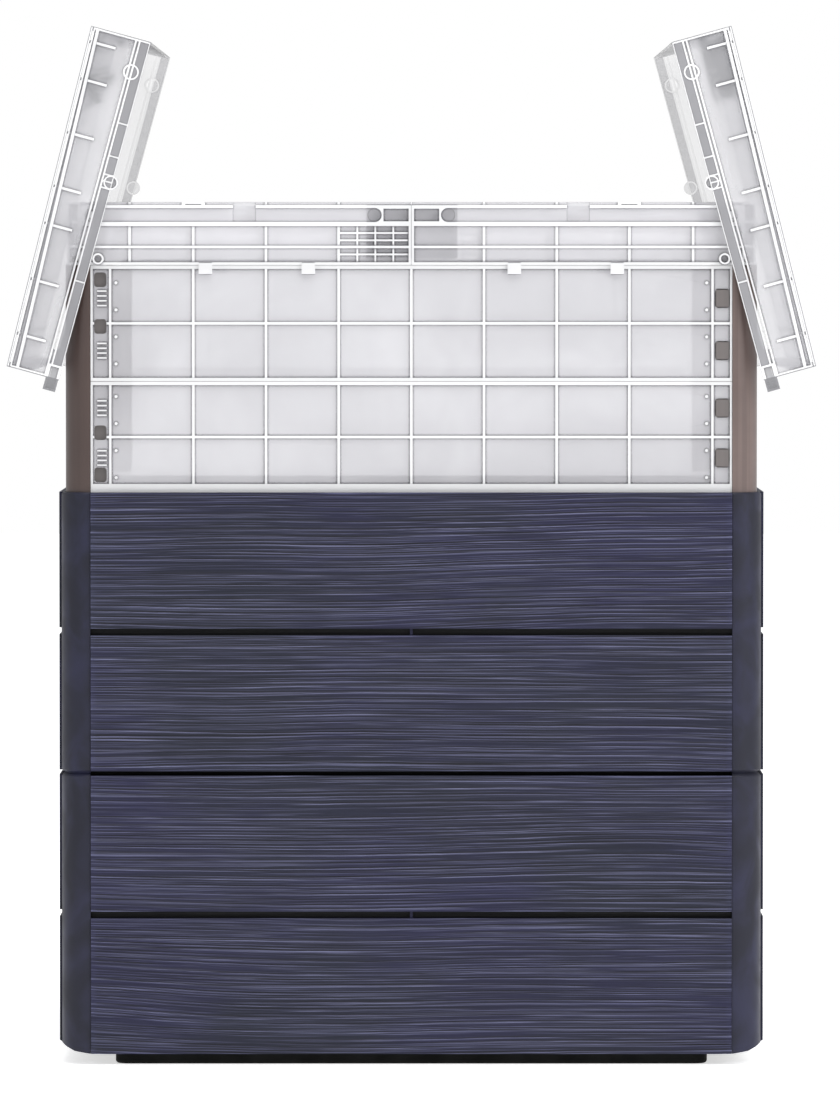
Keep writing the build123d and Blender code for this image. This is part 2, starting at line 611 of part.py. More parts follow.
def end_wall(near):
    """One end wall of the lid, with its lines, short ribs, double-skinned strip, foot, catch and boss."""
    wall_out = LID_WALL_IN + LID_WALL
    outer, middle = -PIN_TO_OUTER, PIN_TO_MIDDLE
    end_wall_box(near, outer, middle, -SKIRT_DROP, ROOF_LOW - 10, LID_WALL_IN, wall_out)
    end_wall_box(near, outer, middle, ROOF_LOW - 15, ROOF_LOW + 1, LID_WALL_IN, wall_out, ROOF_SLOPE)
    for low, high, slope in LINES:
        end_wall_box(near, outer, middle, low, high, wall_out - 1, LID_HALF, slope)
    end_wall_box(near, outer, middle, STRIP_LOW, STRIP_HIGH, STRIP_OUT - STRIP_SKIN, STRIP_OUT)
    for u in END_RIBS:
        rib = (u - 1.1, u + 1.1, END_RIB_LOW, BROAD_LINE[0] + 1)
        end_wall_box(near, *rib, wall_out - 1, LID_HALF - 0.4, BROAD_SLOPE)
    for u in STRIP_MARKS:
        end_wall_box(near, u - 0.8, u + 0.8, STRIP_LOW, STRIP_HIGH + 1, STRIP_OUT - 0.2, LID_HALF)
    for u_low, u_high in ((outer, outer + 2.2), (middle - 2.2, middle)):
        roof_here = ROOF_RISE + ROOF_SLOPE * u_low
        end_wall_box(near, u_low, u_high, -SKIRT_DROP, roof_here, wall_out - 1, LID_HALF)
    # hollow foot past the outer end, open outward
    hollow = (FOOT[0] + FOOT_WALL, FOOT[1] - FOOT_WALL, FOOT[2] + FOOT_WALL, FOOT[3] - FOOT_WALL)
    end_wall_box(near, *FOOT, LID_WALL_IN, LID_HALF)
    end_wall_box(near, *hollow, wall_out - 0.5, LID_HALF + 1, mode=Mode.SUBTRACT)
    # catch with a round rim past the skirt's edge, and the ring of the leading boss
    catch_w = 1.5 - SKIRT_DROP
    end_wall_ring(near, CATCH_AT, catch_w, CATCH_RADIUS, 0, wall_out - 0.8, wall_out + 0.4)
    end_wall_ring(near, CATCH_AT, catch_w, CATCH_RADIUS, CATCH_RADIUS - 1.5, wall_out, LID_HALF)
    end_wall_ring(near, BOSS_AT, 0, BOSS_RADIUS, 0, LID_WALL_IN - 1, wall_out)
    end_wall_ring(near, BOSS_AT, 0, BOSS_RADIUS, BOSS_RADIUS - 1.6, wall_out - 1, LID_HALF)
    # slot for the pin's arm, through the sheet only
    slot_y = sorted((near * (LID_WALL_IN - 1), near * wall_out))
    with BuildSketch(lid_plane(slot_y[1])) as slot:
        with Locations((-TRAVEL / 2, 0)):
            SlotCenterToCenter(TRAVEL, 2 * (ARM_RADIUS + 0.1))
    extrude(slot.sketch, amount=LID_WALL + 1, mode=Mode.SUBTRACT)


with BuildPart() as left_lid:
    roof_half = LID_WALL_IN + LID_WALL
    outer, middle = -PIN_TO_OUTER, PIN_TO_MIDDLE
    # roof, with its ribs and raised border
    lid_box(outer, middle, ROOF_LOW, ROOF_LOW + ROOF_SHEET, -roof_half, roof_half, ROOF_SLOPE)
    for u in END_RIBS:
        lid_box(u - RIB / 2, u + RIB / 2, ROOF_LOW + 1, ROOF_RISE - 0.8, -roof_half, roof_half, ROOF_SLOPE)
    rib_step = 2 * roof_half / (ACROSS_RIBS + 1)
    for i in range(1, ACROSS_RIBS + 1):
        y = i * rib_step - roof_half
        lid_box(outer, middle, ROOF_LOW + 1, ROOF_RISE - 0.8, y - RIB / 2, y + RIB / 2, ROOF_SLOPE)
    for low, high in ((outer, outer + 3), (middle - 3, middle)):
        lid_box(low, high, ROOF_LOW + 1, ROOF_RISE, -LID_HALF, LID_HALF, ROOF_SLOPE)
    # outer end wall, and the middle end wall stepped up where it passes the rails
    outer_roof = ROOF_LOW + 1 + ROOF_SLOPE * outer
    middle_roof = ROOF_LOW + 1 + ROOF_SLOPE * middle
    lid_box(outer, outer + 2.4, OUTER_SKIRT, outer_roof, -roof_half, roof_half)
    lid_box(middle - 2.4, middle, MIDDLE_STEP, middle_roof, -roof_half, roof_half)
    lid_box(middle - 2.4, middle, -SKIRT_DROP, MIDDLE_STEP + 1, -MIDDLE_CLEAR, MIDDLE_CLEAR)
    for near in (-1, 1):
        end_wall(near)
save(left_lid, "left_lid")

with BuildPart() as right_lid:
    mirror(left_lid.part, about=Plane.YZ)
save(right_lid, "right_lid")

# The pins turn in the ends of the guide groove, and their arms pass through the lid's slots.
with BuildPart() as left_pins:
    for near in (-1, 1):
        end_wall_ring(near, 0, 0, GROOVE_HALF - 0.3, 0, RAIL_BACK + RAIL_SHEET + 0.5, LID_WALL_IN - 0.3)
        end_wall_ring(near, 0, 0, ARM_RADIUS, 0, LID_WALL_IN - 1, LID_WALL_IN + LID_WALL - 0.3)
save(left_pins, "left_pivot_pins")

with BuildPart() as right_pins:
    mirror(left_pins.part, about=Plane.YZ)
save(right_pins, "right_pivot_pins")
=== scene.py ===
import json
import math

import bmesh
import bpy
import numpy as np
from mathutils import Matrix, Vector


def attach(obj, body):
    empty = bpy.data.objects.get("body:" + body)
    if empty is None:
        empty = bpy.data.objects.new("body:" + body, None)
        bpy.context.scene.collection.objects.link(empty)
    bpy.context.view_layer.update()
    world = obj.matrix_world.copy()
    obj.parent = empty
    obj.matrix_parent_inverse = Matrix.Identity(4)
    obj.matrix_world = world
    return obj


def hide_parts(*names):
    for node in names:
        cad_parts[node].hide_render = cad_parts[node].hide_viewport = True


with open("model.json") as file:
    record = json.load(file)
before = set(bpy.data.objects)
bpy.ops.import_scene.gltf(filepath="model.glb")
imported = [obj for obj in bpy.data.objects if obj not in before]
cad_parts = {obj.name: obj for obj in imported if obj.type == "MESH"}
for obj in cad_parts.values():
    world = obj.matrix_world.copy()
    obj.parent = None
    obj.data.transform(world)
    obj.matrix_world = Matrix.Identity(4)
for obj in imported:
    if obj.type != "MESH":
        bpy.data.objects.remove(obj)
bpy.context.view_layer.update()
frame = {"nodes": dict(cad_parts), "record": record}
NODES = frame["nodes"]
BODIES = frame["record"]["behaviour"]["bodies"]
BODY_OF = {node: body for body, nodes in BODIES.items() for node in nodes}
SIDE_ANGLE = {"front": 0, "right": 90, "back": 180, "left": 270}
MM = 0.001


# ---- Node material helpers ----


class Material:
    """A node material built round one Principled shader. Most methods add a node and give its output."""

    def __init__(self, name, **values):
        self.data = bpy.data.materials.new(name)
        self.data.use_nodes = True
        self.tree = self.data.node_tree
        self.shader = self.tree.nodes["Principled BSDF"]
        self.place = self.add("ShaderNodeTexCoord").outputs["Object"]
        for socket, value in values.items():
            self.shader.inputs[socket.replace("_", " ")].default_value = value

    def add(self, kind, **settings):
        node = self.tree.nodes.new(kind)
        for name, value in settings.items():
            setattr(node, name, value)
        return node

    def feed(self, socket, value):
        """Links a socket, or sets its default when value is a number or a colour."""
        if isinstance(value, bpy.types.NodeSocket):
            self.tree.links.new(value, socket)
        else:
            socket.default_value = value

    def drive(self, **sockets):
        """Feeds the shader's sockets by name."""
        for name, value in sockets.items():
            self.feed(self.shader.inputs[name.replace("_", " ")], value)

    def math(self, operation, first, second=0.0, third=0.0):
        node = self.add("ShaderNodeMath", operation=operation)
        for socket, value in zip(node.inputs, (first, second, third)):
            self.feed(socket, value)
        return node.outputs[0]

    def times(self, first, second):
        return self.math("MULTIPLY", first, second)

    def larger(self, first, second):
        return self.math("MAXIMUM", first, second)

    def size(self, value):
        return self.math("ABSOLUTE", value)

    def scaled(self, x, y, z):
        """The object's coordinates, stretched per axis."""
        node = self.add("ShaderNodeMapping")
        self.feed(node.inputs["Vector"], self.place)
        node.inputs["Scale"].default_value = (x, y, z)
        return node.outputs[0]

    def noise(self, vector, scale, detail=4.0, roughness=0.5, distortion=0.0):
        node = self.add("ShaderNodeTexNoise")
        self.feed(node.inputs["Vector"], vector)
        for name, value in (("Scale", scale), ("Detail", detail), ("Roughness", roughness)):
            node.inputs[name].default_value = value
        node.inputs["Distortion"].default_value = distortion
        return node.outputs["Fac"]

    def ramp(self, value, low, high, to_low=0.0, to_high=1.0):
        """Maps value smoothly from low..high to to_low..to_high, held at both ends."""
        node = self.add("ShaderNodeMapRange", interpolation_type="SMOOTHSTEP")
        for socket, given in zip(node.inputs, (value, low, high, to_low, to_high)):
            self.feed(socket, given)
        return node.outputs["Result"]

    def mix(self, share, first, second):
        """A colour between two colours."""
        node = self.add("ShaderNodeMix", data_type="RGBA")
        self.feed(node.inputs["Factor"], share)
        self.feed(node.inputs["A"], first)
        self.feed(node.inputs["B"], second)
        return node.outputs["Result"]

    def axes(self):
        """The object's x, y and z as three sockets."""
        node = self.add("ShaderNodeSeparateXYZ")
        self.feed(node.inputs[0], self.place)
        return node.outputs[0], node.outputs[1], node.outputs[2]

    def facing(self):
        """The surface normal's x, y and z in the object's own space."""
        node = self.add("ShaderNodeSeparateXYZ")
        self.feed(node.inputs[0], self.add("ShaderNodeTexCoord").outputs["Normal"])
        return node.outputs[0], node.outputs[1], node.outputs[2]

    def bump(self, height, strength, distance):
        node = self.add("ShaderNodeBump")
        self.feed(node.inputs["Height"], height)
        node.inputs["Strength"].default_value = strength
        node.inputs["Distance"].default_value = distance
        self.feed(self.shader.inputs["Normal"], node.outputs[0])


def srgb(red, green, blue):
    """A linear colour from 0-255 display values."""

    def linear(value):
        value /= 255
        return value / 12.92 if value <= 0.04045 else ((value + 0.055) / 1.055) ** 2.4

    return (linear(red), linear(green), linear(blue), 1.0)


# ---- Opaque plastics ----
# PLANK_DARK darkens the grain's streaks, which is the plastic's own tone, and also paints shade into the
# grain's grooves
PLANK_DARK = srgb(8, 8, 16)
PLANK_MID = srgb(27, 30, 45)
PLANK_BLUE = srgb(31, 31, 58)
# painted highlight: the pale colour on the lower edge of each groove, as if lit from above
PLANK_HIGHLIGHT = srgb(117, 119, 151)
# painted shade: the colour of the gap between planks, near black
PAINTED_GAP_SHADE = srgb(3, 4, 8)
PLANK_STREAKS = (7, 7, 520)  # x and y are squeezed alike, since the planks run along one or the other
PLANK_CLOUDS = (5, 5, 11)


def plank_plastic():
    """Dark blue-grey plastic with pressed wood grain, its grooves painted darker as shade and the edges
    below them painted pale as highlights of light from above; the gap between planks is painted near
    black as shade.
    """
    m = Material("plank_plastic", Specular_IOR_Level=0.25)
    relief = m.add("ShaderNodeAttribute", attribute_name="relief").outputs["Fac"]
    rubbed = m.add("ShaderNodeAttribute", attribute_name="rubbed").outputs["Fac"]
    streaks = m.noise(m.scaled(*PLANK_STREAKS), 1.0, 5.0, 0.6)
    cloud = m.noise(m.scaled(*PLANK_CLOUDS), 1.0, 3.0)
    base = m.mix(m.ramp(cloud, 0.35, 0.65), PLANK_MID, PLANK_BLUE)
    base = m.mix(m.ramp(streaks, 0.35, 0.65, 0.35, 0.0), base, PLANK_DARK)
    # painted shade: the grain's grooves are real dips in the mesh, and are also coloured darker as if
    # shadowed from above
    base = m.mix(m.ramp(relief, -0.7, -0.1, 0.9, 0.0), base, PLANK_DARK)
    # painted highlight: pale lines on the lower edge of each groove, as if lit from above
    base = m.mix(m.times(rubbed, m.ramp(streaks, 0.35, 0.6, 0.25, 0.85)), base, PLANK_HIGHLIGHT)
    # painted shade: walls deep in the gap between planks are coloured near black
    base = m.mix(m.ramp(relief, -3.0, -1.0), PAINTED_GAP_SHADE, base)
    m.drive(Base_Color=base, Roughness=m.ramp(streaks, 0.3, 0.7, 0.58, 0.42))
    m.bump(streaks, 0.5, 0.0005)
    return m.data


CORNER_DARK = srgb(23, 24, 37)
CORNER_PALE = srgb(35, 36, 58)


def corner_plastic():
    """The same plastic moulded smooth, with faint cloudy flow marks."""
    m = Material("corner_plastic", Specular_IOR_Level=0.3)
    cloud = m.noise(m.scaled(1, 1, 0.7), 32.0, 3.0, 0.55, 0.6)
    specks = m.noise(m.place, 900.0, 2.0)
    base = m.mix(m.ramp(cloud, 0.35, 0.75), CORNER_DARK, CORNER_PALE)
    m.drive(Base_Color=base, Roughness=m.ramp(cloud, 0.3, 0.7, 0.52, 0.4))
    m.bump(specks, 0.12, 0.0003)
    return m.data


TRAY_DARK = srgb(7, 8, 7)
TRAY_PALE = srgb(14, 15, 14)


def tray_plastic():
    """Matt black plastic with a fine pebble."""
    m = Material("tray_plastic", Specular_IOR_Level=0.12)
    cloud = m.noise(m.place, 40.0, 4.0)
    base = m.mix(m.ramp(cloud, 0.3, 0.7), TRAY_DARK, TRAY_PALE)
    m.drive(Base_Color=base, Roughness=m.ramp(cloud, 0.3, 0.7, 0.7, 0.55))
    m.bump(m.noise(m.place, 1200.0, 2.0), 0.2, 0.0003)
    return m.data


POST_INNER = 285.3 * MM  # nearer the middle than this, on either axis, are the flanges and hooks
POST_LIGHT_FADE = (-260 * MM, 260 * MM)  # from the left posts to the right ones, which are painted paler as if lit from the right
POST_LINES = (260, 260, 3)
# painted light: the posts' colour on the left, and a paler one on the right, as if lit from the right
POST_SHADED = srgb(70, 56, 52)
POST_LIT = srgb(106, 91, 87)
POST_LINE = srgb(56, 44, 41)
POST_CLOUD = srgb(56, 45, 43)
FLANGE_GREY = srgb(100, 96, 95)


def post_plastic():
    """Brown-grey plastic with faint upright lines, greyer on the flanges and hooks behind the panels,
    and painted paler towards the right, as if lit from the right.
    """
    m = Material("post_plastic", Specular_IOR_Level=0.5)
    lines = m.noise(m.scaled(*POST_LINES), 1.0, 3.0)
    cloud = m.noise(m.place, 14.0, 3.0)
    x, y, _ = m.axes()
    # painted light: the posts turn paler from left to right, as if lit from the right
    base = m.mix(m.ramp(x, *POST_LIGHT_FADE), POST_SHADED, POST_LIT)
    base = m.mix(m.ramp(lines, 0.3, 0.7, 0.35, 0.0), base, POST_LINE)
    base = m.mix(m.ramp(cloud, 0.4, 0.7, 0.0, 0.3), base, POST_CLOUD)
    nearest = m.math("MINIMUM", m.size(x), m.size(y))
    base = m.mix(m.ramp(nearest, POST_INNER - MM, POST_INNER, 0.85, 0.0), base, FLANGE_GREY)
    m.drive(Base_Color=base, Roughness=m.ramp(cloud, 0.3, 0.7, 0.42, 0.32))
    m.bump(lines, 0.15, 0.0003)
    return m.data


# ---- Clear plastic ----
SHEET_PALE = srgb(236, 235, 239)
SHEET_DARK = srgb(224, 223, 227)
SMOKE = srgb(150, 150, 153)
# the ribs' colour, painted white as highlights of the light they catch
RIB_HIGHLIGHT = srgb(250, 250, 251)
# the grey painted along ribs and edges: shade in the nooks beside ribs, and dark refraction at edges
EDGE_GREY = srgb(110, 110, 115)
OUTLINE_REACH = 2.5 * MM
SHEET_VEIL = (0.4, 0.46)  # how much a sheet hides, from its clearest patches to its haziest
SMOKE_VEIL = 0.3
OUTLINE_VEIL = 0.58
RIB_VEIL = 0.6


def nothing(_):
    return 0.0


def everything(_):
    return 1.0


def clear_plastic(
    name, rib_share, flatness, smoke=nothing, contour=nothing, clearness=everything, body=everything
):
    """Clear plastic, hazy in its sheets, with its ribs painted white as highlights of the light they
    catch, and painted grey lines where ribs and edges meet the sheets: shade in the nooks beside ribs,
    and dark refraction at edges. Each
    function gives a number or a socket: rib_share is 1 on a rib, flatness is 1 where the surface lies
    along a wall, smoke is 1 where the plastic is dense and grey, contour is 1 on more painted grey
    lines, clearness scales how much the sheets hide, and body how much all of it hides."""
    m = Material(name, IOR=1.4, Roughness=0.3)
    rib = rib_share(m)
    # painted dark refraction lines where faces turn away from the wall, and painted shade in the nooks
    # beside ribs
    edge = m.ramp(flatness(m), 0.7, 0.95, 1.0, 0.0)
    nook = m.add("ShaderNodeAmbientOcclusion", samples=6, only_local=True)
    nook.inputs["Distance"].default_value = OUTLINE_REACH
    outline = m.larger(edge, m.ramp(nook.outputs["AO"], 0.5, 0.95, 1.0, 0.0))
    outline = m.larger(outline, contour(m))
    haze = m.noise(m.place, 7.0, 3.0, 0.5, 0.4)
    sheet = m.mix(m.ramp(haze, 0.3, 0.75), SHEET_DARK, SHEET_PALE)
    sheet = m.mix(smoke(m), sheet, SMOKE)
    # ribs painted white as highlights, outlines painted grey as shade and refraction
    base = m.mix(outline, m.mix(rib, sheet, RIB_HIGHLIGHT), EDGE_GREY)
    veil = m.times(m.ramp(haze, 0.3, 0.75, *SHEET_VEIL), clearness(m))
    veil = m.math("MULTIPLY_ADD", smoke(m), SMOKE_VEIL, veil)
    veil = m.larger(veil, m.times(outline, OUTLINE_VEIL))
    veil = m.larger(veil, m.times(rib, RIB_VEIL))
    m.drive(Base_Color=base, Alpha=m.times(veil, body(m)))
    m.bump(m.noise(m.place, 60.0, 3.0), 0.1, 0.0005)
    return m.data


def reach(m):
    """How far out a point lies along the larger of x and y."""
    x, y, _ = m.axes()
    return m.larger(m.size(x), m.size(y))


def beyond(threshold, soft=0.2 * MM):
    """A rib test for upright walls: 1 where a point lies further out than threshold."""
    return lambda m: m.ramp(reach(m), threshold, threshold + soft)


def upright_flatness(m):
    """1 where the surface faces along x or y."""
    x, y, _ = m.facing()
    return m.larger(m.size(x), m.size(y))


# Distances out from the middle at which each wall's ribs begin
PANEL_RIBS = 304.9 * MM
RAIL_RIBS = 302.7 * MM
LID_WALL_RIBS = 311.8 * MM
STRIP_FACE = 313.5 * MM

# The open left lid: distances from its pins, square to the lean of its skirt or of its roof
PIN = Vector((-283.4, 0, 756.5)) * MM
SKIRT_LEAN = math.radians(15.3)
ROOF_LEAN = math.radians(14.05)
STRIP_EDGE = -1.5 * MM
DOUBLE_LINE = (-1.4 * MM, 3.6 * MM)
ROOF_RIBS = 38.4 * MM
ROOF_GROOVE = (38.2 * MM, 39.4 * MM)
ROOF_EDGE = 40.5 * MM
SMUDGE_RISE = (6 * MM, 16 * MM)
END_EDGES = (-148.8 * MM, 160.9 * MM)  # along the skirt
SMUDGE_HEIGHT = (820 * MM, 870 * MM)  # above the ground
LINE_SOFT = 0.2 * MM


def lid_rise(m, lean):
    """Distance from the pins in the direction square to a lean, the same for both lids."""
    x, _, z = m.axes()
    across = m.times(m.math("SUBTRACT", m.size(x), -PIN.x), math.cos(lean))
    return m.math("MULTIPLY_ADD", m.math("SUBTRACT", z, PIN.z), math.sin(lean), across)


def lid_along(m):
    """Distance from the pins along the lid's skirt, the same for both lids."""
    x, _, z = m.axes()
    inward = m.times(m.math("SUBTRACT", -PIN.x, m.size(x)), math.sin(SKIRT_LEAN))
    return m.math("MULTIPLY_ADD", m.math("SUBTRACT", z, PIN.z), math.cos(SKIRT_LEAN), inward)


def between(m, value, low, high):
    """1 where value lies between low and high."""
    above_low = m.ramp(value, low, low + LINE_SOFT)
    below_high = m.ramp(value, high, high + LINE_SOFT, 1.0, 0.0)
    return m.times(above_low, below_high)


def on_end_wall(m):
    """1 on faces that lie along the lid's end walls."""
    return m.ramp(m.size(m.facing()[1]), 0.7, 0.95)


def near_front(m, front, back):
    """front at the front end wall, and back at the back one."""
    return m.ramp(m.axes()[1], -0.1, 0.1, front, back)


def lid_ribs(m):
    """The lid's ribs, painted white as highlights: outside its end walls, or above its roof. The strip's
    own skin isn't one, and the sheet between the two lines beside the strip is painted nearly as white
    as they are."""
    y = m.axes()[1]
    skirt = lid_rise(m, SKIRT_LEAN)
    double = m.times(between(m, skirt, *DOUBLE_LINE), on_end_wall(m))
    threshold = m.ramp(skirt, DOUBLE_LINE[1], DOUBLE_LINE[1] + LINE_SOFT, STRIP_FACE, LID_WALL_RIBS)
    depth = m.math("SUBTRACT", m.size(y), threshold)
    ribs = m.larger(m.ramp(depth, 0.0, LINE_SOFT), m.times(double, 0.8))
    roof = m.ramp(lid_rise(m, ROOF_LEAN), ROOF_RIBS, ROOF_RIBS + LINE_SOFT)
    return m.larger(ribs, roof)


def lid_smoke(m):
    """The grey of the double-skinned strip, and a smudge over the upper part of the end walls."""
    skirt = lid_rise(m, SKIRT_LEAN)
    strip = m.ramp(skirt, STRIP_EDGE, STRIP_EDGE + LINE_SOFT, 0.75, 0.0)
    smudge = m.ramp(m.noise(m.place, 22.0, 3.0, 0.55, 0.8), 0.35, 0.6, 0.25, 1.0)
    smudge = m.times(smudge, m.ramp(skirt, *SMUDGE_RISE))
    smudge = m.times(smudge, m.ramp(m.axes()[2], *SMUDGE_HEIGHT, 0.3, 1.0))
    smoke = m.times(m.larger(strip, smudge), near_front(m, 1.0, 0.2))
    return m.times(on_end_wall(m), smoke)


def lid_contour(m):
    """Painted dark refraction lines on the end walls: at both ends, along the roof's edge and in the
    groove inside it.
    """
    roof = lid_rise(m, ROOF_LEAN)
    edge = m.ramp(roof, ROOF_EDGE, ROOF_EDGE + LINE_SOFT)
    lines = m.larger(between(m, roof, *ROOF_GROOVE), edge)
    ends = m.math("SUBTRACT", 1.0, between(m, lid_along(m), *END_EDGES))
    lines = m.larger(lines, ends)
    return m.times(on_end_wall(m), lines)


def lid_clearness(m):
    """Less on the roof and the cross walls, which the light passes almost unseen."""
    return m.ramp(on_end_wall(m), 0.0, 1.0, 0.12, 0.7)


def lid_body(m):
    """The back end wall is fainter than the front one."""
    return m.math("SUBTRACT", 1.0, m.times(on_end_wall(m), near_front(m, 0.0, 0.6)))


def lid_flatness(m):
    """1 where the surface faces along y or along the roof's normal."""
    x, y, z = m.facing()
    roof = m.times(m.size(x), math.cos(ROOF_LEAN))
    roof = m.math("MULTIPLY_ADD", m.size(z), math.sin(ROOF_LEAN), roof)
    return m.larger(m.size(y), roof)


# ---- Planks with pressed grain ----
GRAIN_STEP_ALONG = 6.0 * MM
GRAIN_STEP_ACROSS = 0.5 * MM
GRAIN_DEPTH = 0.8 * MM
GRAIN_FADE = 1.5 * MM
GAP_SHADE = 8 * MM  # deeper than this the walls are painted near black as the gap's shade, as dark as the gap between planks looks
GAP_RELIEF = -4.0
LATTICE = 128
GRAIN_LAYERS = ((10, 6.7, 1.0), (20, 3.9, 0.7), (30, 2.3, 0.5))  # seed, pitch in mm, weight
GROOVE = (0.55, 0.5)  # height above its line and half width, in mm
# RIDGE places the painted highlight just below each groove line: height above the line and half width,
# in mm
RIDGE = (-0.25, 0.35)
NEXT_PLANK = 40  # step between the seeds of a wall's two planks


def value_noise(seed, u, v):
    """Smooth noise from 0 to 1 at arrays u and v, one lattice cell to a unit."""
    lattice = np.random.default_rng(seed).random((LATTICE, LATTICE))
    i, j = np.floor(u).astype(int), np.floor(v).astype(int)
    a, b = u - i, v - j
    a, b = a * a * (3 - 2 * a), b * b * (3 - 2 * b)
    i, j, next_i, next_j = i % LATTICE, j % LATTICE, (i + 1) % LATTICE, (j + 1) % LATTICE
    low = lattice[i, j] * (1 - a) + lattice[next_i, j] * a
    high = lattice[i, next_j] * (1 - a) + lattice[next_i, next_j] * a
    return low * (1 - b) + high * b


def hump(value, middle, half_width):
    """1 at the middle, falling off on both sides."""
    return np.exp(-(((value - middle) / half_width) ** 2))


def grain_lines(seed, s, line, pitch):
    """Long lines about a pitch apart: how far in mm a point is above the nearest, and its strength."""
    phase = line / pitch + 1.1 * value_noise(seed, s / 330, line / (2.7 * pitch))
    number = np.round(phase)
    strength = value_noise(seed + 1, s / 120, number) + 0.5 * value_noise(seed + 2, s / 26, number)
    return (phase - number) * pitch, np.clip(1.6 * strength - 0.7, 0.04, 1)


def grain(seed, along, across):
    """Depth of the grain from -1 to 0, and the strength of the painted highlight below each groove, at
    points in metres on a plank.
    """
    s, t = along / MM, across / MM
    line = t + 16 * value_noise(seed, s / 300, t / 120) + 3 * value_noise(seed + 1, s / 120, t / 50)
    line = line + 0.3 * value_noise(seed + 2, s / 20, t / 12)
    depth = 0.2 * value_noise(seed + 3, s / 260, line / 11)
    rubbed = np.zeros_like(s)
    for offset, pitch, weight in GRAIN_LAYERS:
        above, strength = grain_lines(seed + offset, s, line, pitch)
        depth = depth + 0.9 * weight * strength * hump(above, *GROOVE)
        rubbed = np.maximum(rubbed, weight * strength * hump(above, *RIDGE))
    return -np.clip(depth, 0, 1), rubbed


def side_point(side, along, out, z):
    """A point on a side, from its distance along it seen from outside, and outward from the middle."""
    angle = math.radians(SIDE_ANGLE[side])
    x, y = along, -out
    return (x * math.cos(angle) - y * math.sin(angle), x * math.sin(angle) + y * math.cos(angle), z)


def outward(side):
    return Vector(side_point(side, 0, 1, 0))


def cut_flat_faces(bm, out, face_at):
    """Deletes the planks' flat faces. Returns half their width, and the heights of their edges."""
    flat = [
        f for f in bm.faces
        if f.normal.dot(out) > 0.99 and all(face_at - v.co.dot(out) < 0.02 * MM for v in f.verts)
    ]
    half = max(abs(v.co.cross(out).z) for f in flat for v in f.verts)
    heights = sorted({round(v.co.z, 5) for f in flat for v in f.verts})
    bmesh.ops.delete(bm, geom=flat, context="FACES")
    return half, heights


def add_plank(bm, side, face_at, half, heights, seed, layers):
    """A plank's face between two heights, with pressed grain that fades out at its edges."""
    low, high = heights
    relief, rubbed = layers
    columns = round(2 * half / GRAIN_STEP_ALONG) + 1
    rows = round((high - low) / GRAIN_STEP_ACROSS) + 1
    places = np.linspace(-half, half, columns), np.linspace(low, high, rows)
    along, z = np.meshgrid(*places, indexing="ij")
    depth, lit_edge = grain(seed, along + 1, z + 1)
    edge = np.minimum(np.minimum(half - abs(along), z - low), high - z)
    depth = depth * np.clip(edge / GRAIN_FADE, 0, 1)
    points = []
    for i in range(columns):
        column = []
        for j in range(rows):
            out = face_at + depth[i, j] * GRAIN_DEPTH
            point = bm.verts.new(side_point(side, along[i, j], out, z[i, j]))
            point[relief] = depth[i, j]
            # each point keeps the strength of its painted highlight
            point[rubbed] = lit_edge[i, j]
            column.append(point)
        points.append(column)
    for here, beside in zip(points, points[1:]):
        for j in range(rows - 1):
            bm.faces.new((here[j], beside[j], beside[j + 1], here[j + 1])).smooth = True


def grained_wall(tier, side, seed, material):
    """A wall of the bed: its CAD shape, with pressed grain in place of the planks' flat faces."""
    node = NODES[f"{tier}_wall_{side}"]
    out = outward(side)
    bm = bmesh.new()
    bm.from_mesh(node.data)
    face_at = max(v.co.dot(out) for v in bm.verts)
    half, heights = cut_flat_faces(bm, out, face_at)
    relief = bm.verts.layers.float.new("relief")
    rubbed = bm.verts.layers.float.new("rubbed")
    # walls deep in the gap get a relief mark that paints them near black as shade
    for v in bm.verts:
        if face_at - v.co.dot(out) > GAP_SHADE:
            v[relief] = GAP_RELIEF
    planks = ((heights[0], heights[1]), (heights[-2], heights[-1]))
    for number, edges in enumerate(planks):
        add_plank(bm, side, face_at, half, edges, seed + NEXT_PLANK * number, (relief, rubbed))
    mesh = bpy.data.meshes.new(f"{tier}_{side}_planks")
    bm.to_mesh(mesh)
    bm.free()
    mesh.materials.clear()
    mesh.materials.append(material)
    wall = bpy.data.objects.new(mesh.name, mesh)
    bpy.context.scene.collection.objects.link(wall)
    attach(wall, BODY_OF[node.name])
    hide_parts(node.name)


# ---- Finish of the CAD pieces ----
EDGE_BEVEL = 0.6 * MM
WELD_REACH = 0.01 * MM
BEVEL_ANGLE = math.radians(40)


def paint(names, material):
    for name in names:
        for slot in NODES[name].material_slots:
            slot.material = material


def soften(obj):
    """Welds a CAD node's faces and rounds its edges slightly."""
    weld = obj.modifiers.new("weld", "WELD")
    weld.merge_threshold = WELD_REACH
    bevel = obj.modifiers.new("bevel", "BEVEL")
    bevel.width = EDGE_BEVEL
    bevel.segments = 1
    bevel.limit_method = "ANGLE"
    bevel.angle_limit = BEVEL_ANGLE
    bevel.use_clamp_overlap = True


# ---- Scene dressing ----
ROOM_LIGHT = (-0.6, 0.9, 0.36, 0.72)  # from this height to that, from this strength to that
ROOM_COLOUR = (0.98, 0.985, 1, 1)
WHITE = (1, 1, 1, 1)
FLOOR_GLOW = 0.62
FLOOR_SIZE = 30
FLOOR_DARK = (0.93, 0.93, 0.93, 1)
FLOOR_PALE = (0.95, 0.95, 0.95, 1)
LIGHT_AIM = Vector((0, 0, 0.4))
CAMERA_PLACE = Vector((0.0077, -8.3, 0.72))
CAMERA_AIM = Vector((0.0077, -0.312, 0.450))
CAMERA_LENS = 289
CLEAR_BOUNCES = 48  # enough for a ray through every wall of both lids and the frame
BOUNCES = 32


